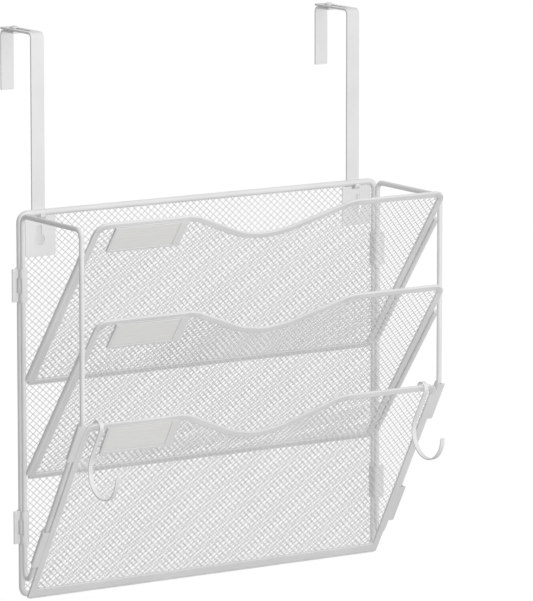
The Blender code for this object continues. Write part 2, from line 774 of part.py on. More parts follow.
# Hangers
frame_top = frame_height - frame_drop
for side_name, sign in (("left", -1), ("right", 1)):
    hanger = empty("hanger_" + side_name, (sign * hanger_x, 0, 0))
    middle_y = -strip_thickness / 2
    root_z = tongue_root - frame_drop
    arm_bottom = frame_top - arm_tail
    window_top = root_z + tongue_window
    path = [Vector((middle_y, arm_bottom)), Vector((middle_y, root_z)), Vector((middle_y, window_top))]
    bend_centre = Vector((middle_y + strip_bend, strap_middle - strip_bend))
    path += arc(bend_centre, strip_bend, math.pi, math.pi / 2, bend_steps)
    strap_end = door_gap + strip_thickness
    path += [Vector((strap_end, strap_middle))]
    bm, rows = strip_surface(path, strip_width / 2, window=1)
    tongue_front = wire_y - half_wire - gap - strip_thickness / 2
    tongue_z = tongue_middle - frame_drop
    curve = arc(Vector((middle_y - tongue_bend, root_z)), tongue_bend, 0.0, math.pi / 2, slight_bend_steps)[1:]
    curve += arc(Vector((tongue_front + tongue_bend, tongue_z + tongue_bend)), tongue_bend,
                 -math.pi / 2, -math.pi, slight_bend_steps)
    curve += [Vector((tongue_front, tongue_z + tongue_bend + tongue_lip))]
    last = rows[1][1:3]
    for y, z in curve:
        row = [bm.verts.new((x, y, z)) for x in (-tongue_width / 2, tongue_width / 2)]
        bm.faces.new((last[0], last[1], row[1], row[0]))
        last = row
    arm = add("hanger_arm_" + side_name, bm, hanger, smooth=math.radians(40))
    solidify(arm, strip_thickness)
    finish(arm)

    # The strap's slot runs from the rivet's place forward by the leg's travel
    leg_rear = door_gap + strip_thickness
    rivet_y = leg_rear - rivet_set_back
    slot_radius = rivet_shank / 2 + slot_clearance
    rear_spot = Vector((0, rivet_y))
    front_spot = Vector((0, rivet_y - leg_travel))
    slot_outline = arc(rear_spot, slot_radius, 0.0, math.pi, 2 * bend_steps)
    slot_outline += arc(front_spot, slot_radius, math.pi, 2 * math.pi, 2 * bend_steps)
    bm = bmesh.new()
    rings = []
    for z in (strap_underside - overrun, strap_underside + strip_thickness + overrun):
        rings.append([bm.verts.new((p.x, p.y, z)) for p in slot_outline])
    bridge_rings(bm, rings, False)
    bm.faces.new(rings[0])
    bm.faces.new(rings[-1])
    slot_cutter = add("slot_cutter_" + side_name, bm, hanger)
    boolean(arm, slot_cutter, 'DIFFERENCE')

    # The leg: a flange under the strap and a leg down the rear of the door
    leg_middle = door_gap + strip_thickness / 2
    flange_front = leg_rear - flange_length
    flange_middle = strip_thickness / 2
    leg_path = [Vector((leg_middle, -leg_length)), Vector((leg_middle, flange_middle - flange_bend))]
    leg_path += arc(Vector((leg_middle - flange_bend, flange_middle - flange_bend)), flange_bend,
                    0.0, math.pi / 2, bend_steps)[1:]
    leg_path += [Vector((flange_front, flange_middle))]

    def stand_strip(y, z, x):
        return Vector((x, y, z))
    bm = ribbon(bmesh.new(), leg_path, strip_thickness, (-strip_width / 2, strip_width / 2), stand_strip)
    leg = add("hanger_leg_" + side_name, bm, hanger, smooth=math.radians(40))
    bm = bmesh.new()
    tail_hole = rivet_tail / 2 + slot_clearance
    rings = []
    for radius, z in ((slot_radius, strip_thickness + overrun), (slot_radius, strip_thickness / 2),
                      (tail_hole, 0.0), (tail_hole, -overrun)):
        rings.append([bm.verts.new((p.x, p.y, z))
                      for p in arc(rear_spot, radius, 0.0, 2 * math.pi, rivet_steps)[:-1]])
    bridge_rings(bm, rings, False)
    bm.faces.new(rings[0])
    bm.faces.new(rings[-1])
    bore_cutter = add("bore_cutter_" + side_name, bm, hanger)
    boolean(leg, bore_cutter, 'DIFFERENCE')
    finish(leg)

    # The rivet: a domed head on the strap and a flared tail inside the flange
    head_low = strap_underside + strip_thickness + gap
    profile = [(0.0, head_low + rivet_dome)]
    for step in range(1, slight_bend_steps + 1):
        angle = math.pi / 2 * step / slight_bend_steps
        profile.append((math.sin(angle) * rivet_head / 2, head_low + math.cos(angle) * rivet_dome))
    profile += [(rivet_shank / 2, head_low), (rivet_shank / 2, strip_thickness / 2),
                (rivet_tail / 2, 0.0), (0.0, 0.0)]
    bm = bmesh.new()
    verts = [bm.verts.new((x, 0, z)) for x, z in profile]
    for a, b in zip(verts, verts[1:]):
        bm.edges.new((a, b))
    rivet = add("hanger_rivet_" + side_name, bm, hanger, (0, rivet_y, 0))
    turn = rivet.modifiers.new("Turn", 'SCREW')
    turn.axis = 'Z'
    turn.steps = rivet_steps
    turn.render_steps = rivet_steps
    turn.use_merge_vertices = True
    turn.merge_threshold = weld_distance
    turn.use_smooth_shade = True
    finish(rivet)

# Hooks on the lower pocket's rim, each with its origin on the axis it swings about
rim_top_y = lower_foot_y - lower_slope * math.sin(lower_slant)
rim_top_z = lower_slope * math.cos(lower_slant)
pivot = Vector((rim_top_y + hook_seat_back * math.cos(lower_slant) + hook_seat_drop * math.sin(lower_slant),
                rim_top_z + hook_seat_back * math.sin(lower_slant) - hook_seat_drop * math.cos(lower_slant)))
down = Vector((math.sin(lower_slant), -math.cos(lower_slant)))
front = Vector((-math.cos(lower_slant), -math.sin(lower_slant)))
hook_path = arc(Vector((0, 0)), hook_rim_bend, hook_tail_turn, math.pi + lower_slant, hook_steps)
shank_end = hook_path[-1] + down * hook_shank
hook_path += arc(shank_end + front * hook_bend, hook_bend, lower_slant, hook_tip_turn, hook_steps)
tip_ahead = Vector((math.sin(hook_tip_turn), -math.cos(hook_tip_turn)))
hook_path += [hook_path[-1] + tip_ahead * hook_tip]
for side_name, sign in (("left", -1), ("right", 1)):
    def hang(y, z, x):
        return Vector((x, y, z))
    bm = ribbon(bmesh.new(), hook_path, hook_thickness, (-hook_width / 2, hook_width / 2), hang)
    hook = add("s_hook_" + side_name, bm, organizer, (sign * hook_x, pivot.x, pivot.y), smooth=math.radians(40))
    finish(hook)
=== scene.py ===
import math

import bmesh
import bpy
from mathutils import Matrix, Vector


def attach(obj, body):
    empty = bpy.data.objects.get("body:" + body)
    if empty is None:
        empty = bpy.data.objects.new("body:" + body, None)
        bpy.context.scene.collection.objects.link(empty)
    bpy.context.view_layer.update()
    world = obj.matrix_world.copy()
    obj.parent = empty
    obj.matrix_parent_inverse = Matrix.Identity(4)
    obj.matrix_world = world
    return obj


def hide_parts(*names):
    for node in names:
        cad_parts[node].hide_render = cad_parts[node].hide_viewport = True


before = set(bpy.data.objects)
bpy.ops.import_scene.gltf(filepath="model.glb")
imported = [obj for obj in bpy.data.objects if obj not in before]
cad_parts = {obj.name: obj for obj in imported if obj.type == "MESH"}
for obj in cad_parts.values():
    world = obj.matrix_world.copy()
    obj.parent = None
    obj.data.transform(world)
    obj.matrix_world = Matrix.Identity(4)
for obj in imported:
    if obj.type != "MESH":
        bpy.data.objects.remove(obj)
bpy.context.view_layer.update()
print("stage: frame loaded")

# Places shared by several pieces, in metres. The door's top front edge is the origin.
wireY = -0.0042          # middle plane of the back frame's wire
frameFoot = -0.4317      # lower edge of the back frame
uprightX = 0.1626        # middle of the frame's uprights and of the side loops
frameHeight = 0.300
upperFoot = frameFoot + 0.1658
middleFoot = frameFoot + 0.0928
steepLean = math.radians(37.45)      # upper and middle pocket
lowLean = math.radians(30.5)         # lower pocket
pocketFootY = wireY - 0.001473
lowerFootY = wireY - 0.0049
sides = (("left", -1), ("right", 1))
bendStep = 7.5                       # degrees between the facets of a bend
touching = 0.0001                    # closer than this is the same place
merging = 0.00001                    # and closer than this, two vertices become one
overrun = 0.002                      # how far a cutter runs past an edge
through = 0.005                      # how far it reaches on each side of a sheet
nearHalf = 0.999                     # a full round takes just less than half, so that its ends stay apart


def hexColour(code):                 # sRGB hex to the linear colour that shaders take
    parts = [int(code[i:i + 2], 16) / 255 for i in (0, 2, 4)]
    return tuple(c / 12.92 if c <= 0.04045 else ((c + 0.055) / 1.055) ** 2.4 for c in parts) + (1.0,)


def addNode(tree, kind, settings=None, inputs=None):
    # a node with its settings; an input is a value or another node's output
    node = tree.nodes.new(kind)
    for key, value in (settings or {}).items():
        setattr(node, key, value)
    for key, value in (inputs or {}).items():
        if isinstance(value, bpy.types.NodeSocket):
            tree.links.new(value, node.inputs[key])
        else:
            node.inputs[key].default_value = value
    return node


def newMaterial(name):
    material = bpy.data.materials.new(name)
    material.use_nodes = True
    tree = material.node_tree
    return material, tree, tree.nodes["Principled BSDF"]


def pick(mode, test):                # select what passes the test, in edit mode
    bpy.ops.mesh.select_mode(type=mode)
    bpy.ops.mesh.select_all(action="DESELECT")
    mesh = bpy.context.object.data
    work = bmesh.from_edit_mesh(mesh)
    for part in {"VERT": work.verts, "EDGE": work.edges, "FACE": work.faces}[mode]:
        if test(part):
            part.select_set(True)
    if mode == "VERT":
        work.select_flush(True)
    bmesh.update_edit_mesh(mesh)


def near(point, reach=touching):     # a test for pick: vertices at a point
    spot = Vector(point)
    return lambda v: (v.co - spot).length < reach


def startPlane(name):                # a 2 m square at the origin, open for editing
    bpy.ops.object.select_all(action="DESELECT")
    bpy.ops.mesh.primitive_plane_add(size=2)
    piece = bpy.context.object
    piece.name = name
    piece.data.name = name
    bpy.ops.object.mode_set(mode="EDIT")
    return piece


def startEdge(name, ends):           # one edge between two points, open for editing and selected
    piece = startPlane(name)
    pick("VERT", lambda v: v.co.y > 0)
    bpy.ops.mesh.delete(type="VERT")
    for x, end in zip((-1, 1), ends):
        pick("VERT", near((x, -1, 0)))
        bpy.ops.transform.translate(value=Vector(end) - Vector((x, -1, 0)))
    bpy.ops.mesh.select_all(action="SELECT")
    return piece


def bendCorner(points, i, radius, segments):
    # round one corner of an outline that is open for editing
    here = points[i]
    angle = (points[i - 1] - here).angle(points[(i + 1) % len(points)] - here)
    pick("VERT", near(here))
    bpy.ops.mesh.bevel(offset=radius / math.tan(angle / 2), segments=segments, affect="VERTICES")


def bendStrip(name, across, width, start, heading, moves):
    # a flat strip bent as in a press: a run is a length, a bend is (radius, degrees) about the across direction
    across, spot, heading = Vector(across), Vector(start), Vector(heading)
    piece = startEdge(name, (spot - across * width / 2, spot + across * width / 2))
    for move in moves:
        if isinstance(move, tuple):
            radius, degrees = move
            centre = spot + across.cross(heading) * (radius if degrees > 0 else -radius)
            steps = max(3, math.ceil(abs(degrees) / bendStep))
            bpy.ops.mesh.spin(steps=steps, angle=-math.radians(degrees), center=centre, axis=across)
            turned = Matrix.Rotation(math.radians(degrees), 3, across)
            spot = centre + turned @ (spot - centre)
            heading = turned @ heading
        else:
            bpy.ops.mesh.extrude_region_move(TRANSFORM_OT_translate={"value": heading * move})
            spot = spot + heading * move
    bpy.ops.mesh.select_all(action="SELECT")
    bpy.ops.mesh.remove_doubles(threshold=merging)
    bpy.ops.mesh.normals_make_consistent(inside=False)
    bpy.ops.object.mode_set(mode="OBJECT")
    return piece


def roundEnds(piece, corners, radius):           # round the four corners of a strip before it has thickness
    bpy.context.view_layer.objects.active = piece
    bpy.ops.object.mode_set(mode="EDIT")
    pick("VERT", lambda v: any(near(corner)(v) for corner in corners))
    bpy.ops.mesh.bevel(offset=radius, segments=5, affect="VERTICES")
    bpy.ops.object.mode_set(mode="OBJECT")


def block(name, low, high):                      # a box from corner to corner, to be shaped or to cut with
    bpy.ops.object.select_all(action="DESELECT")
    low, high = Vector(low), Vector(high)
    bpy.ops.mesh.primitive_cube_add(size=1)
    piece = bpy.context.object
    piece.name = name
    bpy.ops.object.mode_set(mode="EDIT")
    bpy.ops.mesh.select_all(action="SELECT")
    bpy.ops.transform.resize(value=high - low, center_override=(0, 0, 0))
    bpy.ops.transform.translate(value=(low + high) / 2)
    bpy.ops.object.mode_set(mode="OBJECT")
    return piece


def roundBlock(piece, axis, radius, segments, only=lambda place: True):
    # round the edges of a new block that run along one axis, all or only those in some place
    bpy.context.view_layer.objects.active = piece
    bpy.ops.object.mode_set(mode="EDIT")
    i = "XYZ".index(axis)
    pick("EDGE", lambda e: (abs(e.verts[0].co[i] - e.verts[1].co[i]) > touching
                            and all(only(v.co) for v in e.verts)))
    bpy.ops.mesh.bevel(offset=radius, segments=segments, affect="EDGES")
    bpy.ops.object.mode_set(mode="OBJECT")


def cut(piece, tool, way="DIFFERENCE"):          # a boolean, and the tool is thrown away
    applyModifier(piece, "BOOLEAN", object=tool, operation=way, solver="EXACT")
    bpy.data.objects.remove(tool, do_unlink=True)


def drill(piece, radius, place, rotation=(0, 0, 0)):
    bpy.ops.object.select_all(action="DESELECT")
    bpy.ops.mesh.primitive_cylinder_add(vertices=48, radius=radius, depth=2 * through, location=place,
                                        rotation=rotation)
    cut(piece, bpy.context.object)


def selectOnly(piece):
    bpy.ops.object.select_all(action="DESELECT")
    piece.select_set(True)
    bpy.context.view_layer.objects.active = piece


def applyModifier(piece, kind, **settings):
    modifier = piece.modifiers.new(kind.title(), kind)
    for key, value in settings.items():
        setattr(modifier, key, value)
    bpy.context.view_layer.objects.active = piece
    bpy.ops.object.modifier_apply(modifier=modifier.name)


def thicken(piece, sheet):                       # both ways from the surface that was drawn
    applyModifier(piece, "SOLIDIFY", thickness=sheet, offset=0.0)


def softenEdges(piece, width):                   # a small round on the edges, not on the facets of a bend
    applyModifier(piece, "BEVEL", width=width, segments=2, limit_method="ANGLE", angle_limit=math.radians(50))


def standLeaning(piece, lean, hinge):            # from flat to its place: up from the foot, tipped forward
    piece.data.transform(Matrix.Translation(hinge) @ Matrix.Rotation(lean + math.pi / 2, 4, "X"))


def dress(piece, material, node, body="organizer", smooth=None):
    # material, smoothing, and the piece's place in the moving model
    if smooth:
        selectOnly(piece)
        bpy.ops.object.shade_smooth_by_angle(angle=math.radians(smooth))
        applyModifier(piece, "WEIGHTED_NORMAL", keep_sharp=True)      # flat faces stay flat between rounded edges
    piece.data.materials.clear()
    piece.data.materials.append(material)
    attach(piece, body)
    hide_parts(node)


# 33 degrees to the left of straight ahead, 9.5 up, with a long lens
view = {"place": (-2.33022, -3.68653, 0.51397), "azimuth": -33.0, "elevation": 9.5, "focalPixels": 5687.8,
        "longSide": 601, "sensor": 36.0}

cameraData = bpy.data.cameras.new("viewCamera")
camera = bpy.data.objects.new("viewCamera", cameraData)
bpy.context.scene.collection.objects.link(camera)
bpy.context.scene.camera = camera
cameraData.sensor_width = view["sensor"]
cameraData.sensor_fit = "AUTO"
cameraData.lens = view["sensor"] * view["focalPixels"] / view["longSide"]
cameraData.clip_end = 100
turn, lift = math.radians(view["azimuth"]), math.radians(view["elevation"])
backwards = Vector((math.sin(turn) * math.cos(lift), -math.cos(turn) * math.cos(lift), math.sin(lift)))
camera.location = view["place"]
camera.rotation_mode = "QUATERNION"
camera.rotation_quaternion = backwards.to_track_quat("Z", "Y")
print("stage: camera")

# a pale room, brightest above and on the right, one broad soft lamp, and a near fill lamp without shadows
light = {"roomColour": "ffffff", "roomMiddle": 0.38, "roomSwing": 0.35, "brightSide": (0.34, -0.15, 0.88),
         "keyStrength": 0.15, "keyAngle": 30.0, "keyFrom": (0.55, -0.72, 0.45),
         "fillPower": 27.5, "fillPlace": (-0.05, -1.25, 0.17), "fillRadius": 0.2,
         "floorColour": "f4f4f4", "floorRoughness": 0.8, "floorDrop": 2.03, "floorSize": 6.0}

world = bpy.data.worlds.new("paleRoom")
bpy.context.scene.world = world
world.use_nodes = True
tree = world.node_tree
tree.nodes.clear()
path = addNode(tree, "ShaderNodeLightPath")
seen = addNode(tree, "ShaderNodeMath", {"operation": "MAXIMUM"},
               {0: path.outputs["Is Camera Ray"], 1: path.outputs["Is Glossy Ray"]})
seen = addNode(tree, "ShaderNodeMath", {"operation": "MAXIMUM"},
               {0: seen.outputs[0], 1: path.outputs["Is Transmission Ray"]})
towards = addNode(tree, "ShaderNodeTexCoord")
side = addNode(tree, "ShaderNodeVectorMath", {"operation": "DOT_PRODUCT"},
               {0: towards.outputs["Generated"], 1: Vector(light["brightSide"]).normalized()})
strength = addNode(tree, "ShaderNodeMapRange", None,
                   {"Value": side.outputs["Value"], "From Min": -1.0, "From Max": 1.0,
                    "To Min": light["roomMiddle"] - light["roomSwing"],
                    "To Max": light["roomMiddle"] + light["roomSwing"]})
roomColour = hexColour(light["roomColour"])
dim = addNode(tree, "ShaderNodeBackground", None, {"Color": roomColour, "Strength": strength.outputs["Result"]})
plain = addNode(tree, "ShaderNodeBackground", None, {"Color": roomColour, "Strength": 1.0})
blend = addNode(tree, "ShaderNodeMixShader", None, {"Fac": seen.outputs[0], 1: dim.outputs[0], 2: plain.outputs[0]})
addNode(tree, "ShaderNodeOutputWorld", None, {"Surface": blend.outputs[0]})

keyData = bpy.data.lights.new("keyLight", "SUN")
keyData.energy = light["keyStrength"]
keyData.angle = math.radians(light["keyAngle"])
key = bpy.data.objects.new("keyLight", keyData)
key.rotation_mode = "QUATERNION"
key.rotation_quaternion = Vector(light["keyFrom"]).to_track_quat("Z", "Y")
bpy.context.scene.collection.objects.link(key)

fillData = bpy.data.lights.new("fillLight", "POINT")
fillData.energy = light["fillPower"]
fillData.shadow_soft_size = light["fillRadius"]
fillData.use_shadow = False
fill = bpy.data.objects.new("fillLight", fillData)
fill.location = light["fillPlace"]
bpy.context.scene.collection.objects.link(fill)

bpy.ops.object.select_all(action="DESELECT")
bpy.ops.mesh.primitive_plane_add(size=light["floorSize"], location=(0, 0, -light["floorDrop"]))
floor = bpy.context.object
floor.name = "floor"
floorPaint, tree, shader = newMaterial("paleFloorPaint")
shader.inputs["Base Color"].default_value = hexColour(light["floorColour"])
shader.inputs["Roughness"].default_value = light["floorRoughness"]
floor.data.materials.append(floorPaint)
bpy.context.scene.view_settings.view_transform = "Standard"
print("stage: light and floor")

# the shaded colours are the same white paint made a little darker for the leaning rims, label holders and nets:
# painted shade
coat = {"colour": "ededed", "lowColour": "e6e6e6", "shadedColour": "e8e8e8", "shadedLowColour": "e1e1e1",
        "cloudScale": 18.0, "cloudEnds": (0.35, 0.65), "roughness": 0.42, "roughSwing": 0.05, "peel": 0.0016,
        "peelDepth": 0.000012}
card = {"colour": "eaeae8", "streaks": "e6e5e3", "streakEnds": (0.3, 0.6), "roughness": 0.8, "fibre": 0.0016,
        "stretch": (0.12, 1.0, 1.4), "relief": 0.00002}


def twoTone(tree, amount, ends, colours):        # a ramp from one colour to another
    ramp = addNode(tree, "ShaderNodeValToRGB", None, {"Fac": amount})
    for stop, place, colour in zip(ramp.color_ramp.elements, ends, colours):
        stop.position = place
        stop.color = hexColour(colour)
    return ramp.outputs["Color"]


def powderCoat(name, peelDepth, colour, lowColour):
    # white powder coat on steel: an even satin skin with a faint orange-peel ripple about 1.6 mm apart
    material, tree, shader = newMaterial(name)
    place = addNode(tree, "ShaderNodeTexCoord")
    cloud = addNode(tree, "ShaderNodeTexNoise", None,
                    {"Vector": place.outputs["Object"], "Scale": coat["cloudScale"], "Detail": 2.0})
    tint = twoTone(tree, cloud.outputs["Fac"], coat["cloudEnds"], (lowColour, colour))
    tree.links.new(tint, shader.inputs["Base Color"])
    ripple = addNode(tree, "ShaderNodeTexNoise", None,
                     {"Vector": place.outputs["Object"], "Scale": 1 / coat["peel"], "Detail": 1.0})
    gloss = addNode(tree, "ShaderNodeMapRange", None,
                    {"Value": ripple.outputs["Fac"], "To Min": coat["roughness"] - coat["roughSwing"],
                     "To Max": coat["roughness"] + coat["roughSwing"]})
    tree.links.new(gloss.outputs["Result"], shader.inputs["Roughness"])
    if peelDepth:
        bump = addNode(tree, "ShaderNodeBump", None,
                       {"Height": ripple.outputs["Fac"], "Strength": 1.0, "Distance": peelDepth})
        tree.links.new(bump.outputs["Normal"], shader.inputs["Normal"])
    return material


sheetCoat = powderCoat("powderCoatedSteelSheet", coat["peelDepth"], coat["colour"], coat["lowColour"])
wireCoat = powderCoat("powderCoatedSteelWire", coat["peelDepth"], coat["colour"], coat["lowColour"])
# rims, label holders and nets take the darker shaded copy of the white paint, which is painted shade, not a
# different finish
shadedRimCoat = powderCoat("powderCoatPaintedShadeRim", coat["peelDepth"], coat["shadedColour"], coat["shadedLowColour"])
meshCoat = powderCoat("powderCoatedExpandedMesh", 0.0, coat["shadedColour"], coat["shadedLowColour"])

# paper board: matt, with long fibres that make faint streaks
paperBoard, tree, shader = newMaterial("paperBoard")
place = addNode(tree, "ShaderNodeTexCoord")
stretch = addNode(tree, "ShaderNodeMapping", None, {"Vector": place.outputs["Object"], "Scale": card["stretch"]})
fibre = addNode(tree, "ShaderNodeTexNoise", None,
                {"Vector": stretch.outputs["Vector"], "Scale": 1 / card["fibre"], "Detail": 3.0})
tint = twoTone(tree, fibre.outputs["Fac"], card["streakEnds"], (card["streaks"], card["colour"]))
tree.links.new(tint, shader.inputs["Base Color"])
bump = addNode(tree, "ShaderNodeBump", None,
               {"Height": fibre.outputs["Fac"], "Strength": 1.0, "Distance": card["relief"]})
tree.links.new(bump.outputs["Normal"], shader.inputs["Normal"])
shader.inputs["Roughness"].default_value = card["roughness"]

for name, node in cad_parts.items():
    node.data.materials.clear()
    node.data.materials.append(paperBoard if name.startswith("label_card") else sheetCoat)
print("stage: finishes")


# expanded mesh: diamonds laid as a turned grid, with strands made from its edges
net = {"strand": 0.00062, "backCell": (0.00595, 0.00513), "backField": (0.34, 0.31), "backMiddle": (0, 0.15),
       "pocketCell": (0.00510, 0.00545), "pocketField": (0.325, 0.175), "pocketMiddle": (0, 0.086)}


def layNet(name, node, cell, size, middle, inside, lean, hinge):
    # size is the field's width and height; inside tells which diamonds stay; lean turns it about the hinge point
    bpy.ops.object.select_all(action="DESELECT")
    step = cell[0]
    count = math.ceil(size[0] / cell[0] + size[1] / cell[1])
    count += count % 2
    bpy.ops.mesh.primitive_grid_add(x_subdivisions=count, y_subdivisions=count, size=count * step)
    piece = bpy.context.object
    piece.name = name
    piece.data.name = name
    bpy.ops.object.mode_set(mode="EDIT")
    bpy.ops.mesh.select_all(action="SELECT")
    bpy.ops.transform.rotate(value=math.radians(45), orient_axis="Z", center_override=(0, 0, 0))
    half = math.sqrt(0.5)
    bpy.ops.transform.resize(value=(half, half * cell[1] / step, 1), center_override=(0, 0, 0))
    bpy.ops.transform.translate(value=(middle[0], middle[1], 0))
    pick("FACE", lambda f: not inside(f.calc_center_median()))
    bpy.ops.mesh.delete(type="FACE")
    bpy.ops.object.mode_set(mode="OBJECT")
    applyModifier(piece, "WIREFRAME", thickness=net["strand"], use_even_offset=True, use_boundary=True)
    standLeaning(piece, lean, hinge)
    piece.data.shade_smooth()
    dress(piece, meshCoat, node)


back = {"halfWidth": uprightX - 0.0012, "low": 0.0036, "high": 0.2964, "keyholeX": 0.1458,
        "windowHalf": 0.0072, "windowLow": 0.270, "windowHigh": 0.2895}


def backInside(p):                   # the whole panel but for a window behind each keyhole
    besideHole = abs(abs(p.x) - back["keyholeX"]) < back["windowHalf"]
    behindKeyhole = besideHole and back["windowLow"] < p.y < back["windowHigh"]
    return abs(p.x) < back["halfWidth"] and back["low"] < p.y < back["high"] and not behindKeyhole


layNet("expandedMeshBack", "back_mesh", net["backCell"], net["backField"], net["backMiddle"], backInside, 0.0,
       Vector((0, wireY, frameFoot)))

pocket = {"upperHalf": 0.1582, "lowerHalf": 0.1613, "slope": 0.1726, "lowerSlope": 0.1728, "netInset": 0.0028,
          "dipTop": 0.0708, "dipFloor": 0.0145, "dipDepth": 0.0265}

# each pocket's half width, its length along the slope, its lean, and the point at its foot about which it leans
pockets = {"upper": (pocket["upperHalf"], pocket["slope"], steepLean, Vector((0, pocketFootY, upperFoot))),
           "middle": (pocket["upperHalf"], pocket["slope"], steepLean, Vector((0, pocketFootY, middleFoot))),
           "lower": (pocket["lowerHalf"], pocket["lowerSlope"], lowLean, Vector((0, lowerFootY, frameFoot)))}


def pocketInside(halfWidth, slope):
    def test(p):
        share = (pocket["dipTop"] - abs(p.x)) / (pocket["dipTop"] - pocket["dipFloor"])
        top = slope - pocket["dipDepth"] * min(max(share, 0), 1)
        inset = pocket["netInset"]
        return abs(p.x) < halfWidth - inset and inset < p.y < top - inset
    return test


for level, (halfWidth, slope, lean, hinge) in pockets.items():
    layNet("expandedMesh" + level.title(), "pocket_mesh_" + level, net["pocketCell"], net["pocketField"],
           net["pocketMiddle"], pocketInside(halfWidth, slope), lean, hinge)
print("stage: expanded mesh")


def bendLoop(name, node, corners, bends, wire):
    # a bent wire: four corners of a loop, rounded, then given the wire's thickness
    startPlane(name)
    bpy.ops.mesh.delete(type="ONLY_FACE")
    square = [(-1, -1, 0), (1, -1, 0), (1, 1, 0), (-1, 1, 0)]
    points = [Vector(corner) for corner in corners]
    for start, point in zip(square, points):
        pick("VERT", near(start))
        bpy.ops.transform.translate(value=point - Vector(start))
    for i, bend in enumerate(bends):
        bendCorner(points, i, bend, segments=10)
    bpy.ops.object.mode_set(mode="OBJECT")
    bpy.ops.object.convert(target="CURVE")
    piece = bpy.context.object
    piece.data.bevel_depth = wire / 2
    piece.data.bevel_resolution = 7
    bpy.ops.object.convert(target="MESH")
    piece = bpy.context.object
    piece.name = name
    piece.data.shade_smooth()
    dress(piece, wireCoat, node)


wires = {"frame": 0.0048, "frameBend": 0.0066, "loop": 0.0040, "loopBends": (0.006, 0.0065, 0.0065, 0.008),
         "loopRear": -0.0047, "loopFront": -0.091, "loopTop": 0.297, "heel": 0.00439, "knee": 0.1509}

half = wires["frame"] / 2
bendLoop("frameWire", "back_frame_wire",
         [(-uprightX, wireY, frameFoot + half), (uprightX, wireY, frameFoot + half),
          (uprightX, wireY, frameFoot + frameHeight - half), (-uprightX, wireY, frameFoot + frameHeight - half)],
         [wires["frameBend"]] * 4, wires["frame"])
for side, sign in sides:
    x = sign * uprightX
    bendLoop("loopWire" + side.title(), "side_loop_" + side,
             [(x, wireY + wires["loopRear"], frameFoot + wires["heel"]),
              (x, wireY + wires["loopRear"], frameFoot + wires["loopTop"]),
              (x, wireY + wires["loopFront"], frameFoot + wires["loopTop"]),
              (x, wireY + wires["loopFront"], frameFoot + wires["knee"])],
             wires["loopBends"], wires["loop"])
print("stage: bent wires")


def bendRod(name, node, ends, wire, swell):
    # a short straight wire, its ends swollen a little where they were butt welded
    startEdge(name, ends)
    bpy.ops.mesh.subdivide(number_cuts=11)
    bpy.ops.object.mode_set(mode="OBJECT")
    bpy.ops.object.convert(target="CURVE")
    piece = bpy.context.object
    piece.data.bevel_depth = wire / 2
    piece.data.bevel_resolution = 7
    piece.data.use_fill_caps = True
    bpy.ops.object.convert(target="MESH")
    piece = bpy.context.object
    piece.name = name
    bpy.ops.object.mode_set(mode="EDIT")
    for end in ends:
        pick("VERT", near(end, wire))
        bpy.ops.transform.resize(value=(swell, 1, 1), center_override=end)
    bpy.ops.object.mode_set(mode="OBJECT")
    dress(piece, wireCoat, node, smooth=50)


support = {"wire": 0.0039, "x": 0.1605, "front": wireY - 0.0893, "rear": wireY - 0.0064, "behind": 0.0009,
           "swell": 1.1}

for level, foot in (("upper", upperFoot), ("middle", middleFoot)):
    for side, sign in sides:
        lower = foot - support["behind"] / math.sin(steepLean)
        ends = [Vector((sign * support["x"], y, lower + (pocketFootY - y) / math.tan(steepLean)))
                for y in (support["front"], support["rear"])]
        bendRod("supportWire" + level.title() + side.title(), "support_wire_%s_%s" % (level, side), ends,
                support["wire"], support["swell"])
print("stage: support wires")

# pocket rims: a folded band that follows the pocket's dipped outline, drawn flat and then leaned
rim = {"thickness": 0.0022, "topBand": 0.0052, "sideBand": 0.0055,
       "footBands": {"upper": 0.0055, "middle": 0.0055, "lower": 0.0090}, "topCorner": 0.010, "footCorner": 0.0020,
       "shoulderBend": 0.030, "floorBend": 0.060, "foldRound": 0.0007, "pressed": 0.42, "edgeRound": 0.00022,
       "bandReach": 0.0002, "bendReach": 0.001, "raised": 0.0001}


def rimCorners(halfWidth, slope):    # each corner's place and the radius of its bend
    floor = slope - pocket["dipDepth"]
    return [(-halfWidth, 0, 0), (halfWidth, 0, 0), (halfWidth, slope, rim["topCorner"]),
            (pocket["dipTop"], slope, rim["shoulderBend"]), (pocket["dipFloor"], floor, rim["floorBend"]),
            (-pocket["dipFloor"], floor, rim["floorBend"]), (-pocket["dipTop"], slope, rim["shoulderBend"]),
            (-halfWidth, slope, rim["topCorner"])]


